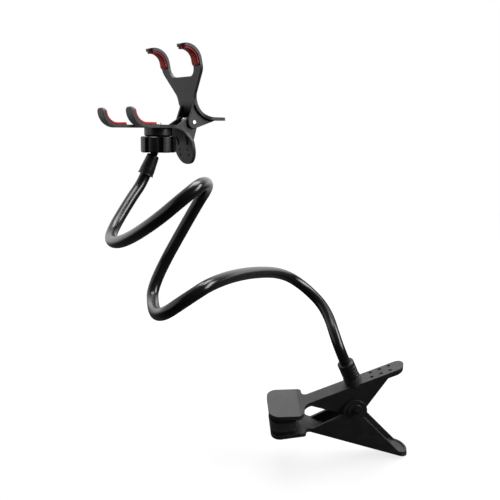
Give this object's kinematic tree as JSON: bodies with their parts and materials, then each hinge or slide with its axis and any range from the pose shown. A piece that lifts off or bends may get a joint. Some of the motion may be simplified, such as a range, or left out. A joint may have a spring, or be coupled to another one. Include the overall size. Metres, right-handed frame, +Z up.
{
  "type": "desk phone holder",
  "caption": "Clamp-on desk phone holder: sprung desk clip, long bendable arm, ball joint with lock nut, and a sprung clip with padded hooked fingers.",
  "frame": {"origin": "on the underside of the desk clip's upper pad, the face that lies on the desk, near the middle of the paddle", "axes": "+Z up from the desk, +X from the jaws towards the handles, Y along the desk clip's hinge pin"},
  "size_m": [0.2607, 0.2345, 0.3481],
  "materials": {
    "black_plastic": "satin",
    "hose": "gloss",
    "desk_pad": "matte",
    "red_pad": "satin",
    "liner": "matte",
    "pin_black": "satin",
    "steel": "bright"
  },
  "bodies": {
    "desk_base": {"desk_upper_jaw": "black_plastic", "desk_upper_pad": "desk_pad", "desk_hinge_pin": "pin_black", "desk_spring": "steel", "arm_collar": "black_plastic", "collar_screw": "steel", "gooseneck_arm": "hose", "ball_stem": "black_plastic"},
    "desk_lower": {"desk_lower_jaw": "black_plastic", "desk_lower_pad": "desk_pad"},
    "ball_liner": {"ball_liner": "liner"},
    "lock_nut": {"lock_nut": "black_plastic"},
    "clip_lower": {"socket_cup": "black_plastic", "socket_screw": "steel", "clip_lower_jaw": "black_plastic", "clip_hinge_pin": "steel", "clip_spring": "steel", "lower_pad_left": "red_pad", "lower_pad_right": "red_pad"},
    "clip_upper": {"clip_upper_jaw": "black_plastic", "upper_pad_left": "red_pad", "upper_pad_right": "red_pad"}
  },
  "joints": [
    {"name": "desk_jaw_hinge", "type": "hinge", "parent": "desk_base", "child": "desk_lower", "pos_m": [0.0576, 0, 0.0034], "axis": [0, -1, 0], "range_deg": [-6.8, 31], "stiffness_Nm_per_rad": 0.3, "springref_deg": -57.3, "deforming": ["desk_spring"]},
    {"name": "ball_tilt_back", "type": "hinge", "parent": "desk_base", "child": "ball_liner", "pos_m": [-0.103, 0.075, 0.217], "axis": [-0.54, 0.8124, -0.2201], "range_deg": [-5, 46]},
    {"name": "ball_tilt_side", "type": "hinge", "parent": "ball_liner", "child": "lock_nut", "pos_m": [-0.103, 0.075, 0.217], "axis": [0.8413, 0.5136, -0.1685], "range_deg": [-3, 17]},
    {"name": "ball_swivel", "type": "hinge", "parent": "lock_nut", "child": "clip_lower", "pos_m": [-0.103, 0.075, 0.217], "axis": [0.0239, 0.2761, 0.9608], "continuous": true},
    {"name": "phone_clip_hinge", "type": "hinge", "parent": "clip_lower", "child": "clip_upper", "pos_m": [-0.07903, 0.09418, 0.229], "axis": [-0.54, 0.8124, -0.2201], "range_deg": [-55, 20], "stiffness_Nm_per_rad": 0.2, "springref_deg": -143.24, "deforming": ["clip_spring"]}
  ]
}
